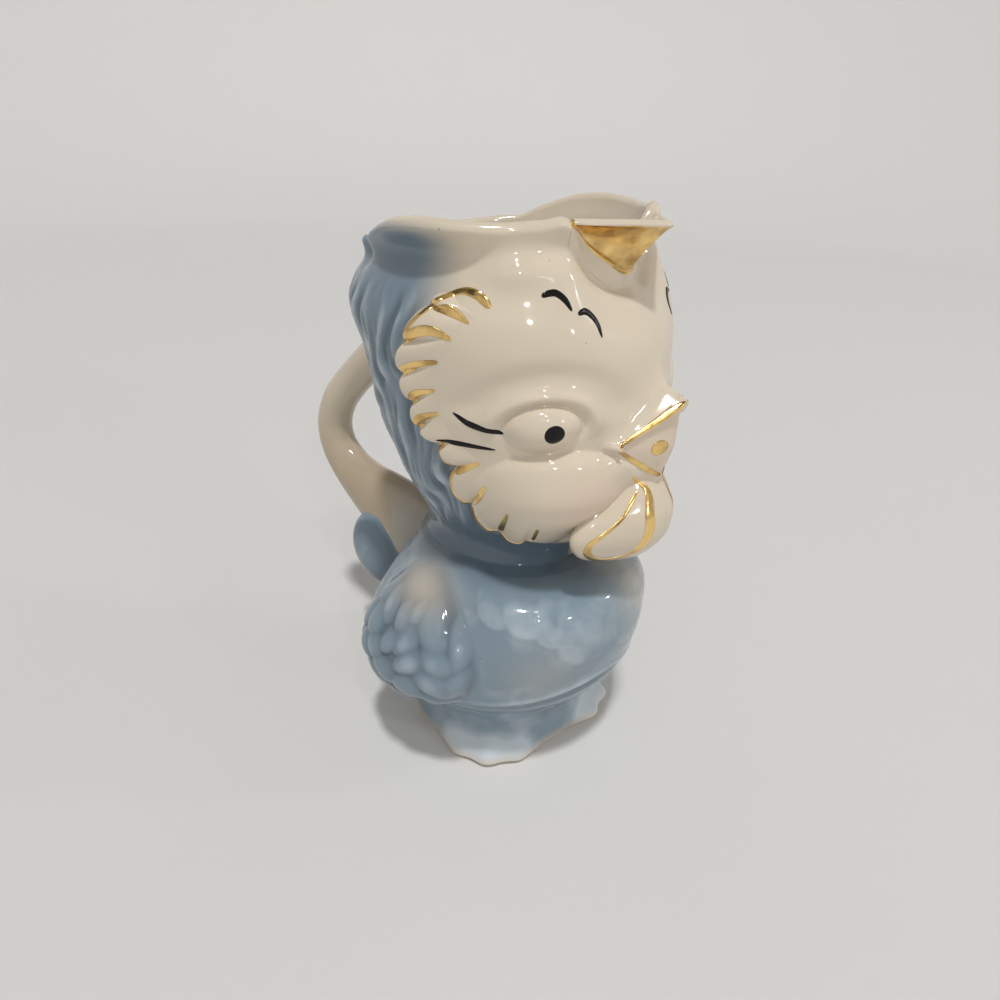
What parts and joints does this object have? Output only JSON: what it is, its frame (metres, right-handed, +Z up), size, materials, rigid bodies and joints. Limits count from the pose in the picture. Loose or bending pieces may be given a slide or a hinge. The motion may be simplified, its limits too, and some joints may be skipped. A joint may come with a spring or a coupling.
{
  "type": "bird-shaped cream jug",
  "caption": "Glazed ceramic cream jug in the shape of a plump blue bird, with a hollow head and body, gilt pouring lip, open beak, wattles and a loop handle.",
  "frame": {"origin": "middle of the flat face that the jug stands on, on the axis of the plinth, neck and head", "axes": "+Z up from the table, -Y the way the bird and the pouring lip face, +Y towards the handle, +X the bird's left side"},
  "size_m": [0.0958, 0.1289, 0.1496],
  "materials": {
    "blue_glaze": "glossy clear glaze over pale blue, thin and white along edges",
    "cream_glaze": "glossy cream glaze with fine specks",
    "rosy_glaze": "glossy glaze with a pink tint",
    "gilt": "ceramic coated with burnished overglaze gold",
    "black_paint": "glossy black overglaze paint"
  },
  "bodies": {
    "root": {"plinth": "blue_glaze", "body_shell": "blue_glaze", "head_shell": "cream_glaze", "pouring_lip": "gilt", "handle": "cream_glaze", "tail": "blue_glaze", "upper_beak": "cream_glaze", "lower_beak": "cream_glaze", "tongue": "rosy_glaze", "right_wing": "blue_glaze", "left_wing": "blue_glaze", "right_foot": "blue_glaze", "left_foot": "blue_glaze", "right_eye": "cream_glaze", "left_eye": "cream_glaze", "right_fringe": "cream_glaze", "left_fringe": "cream_glaze", "right_wattle": "cream_glaze", "left_wattle": "cream_glaze"}
  },
  "joints": []
}
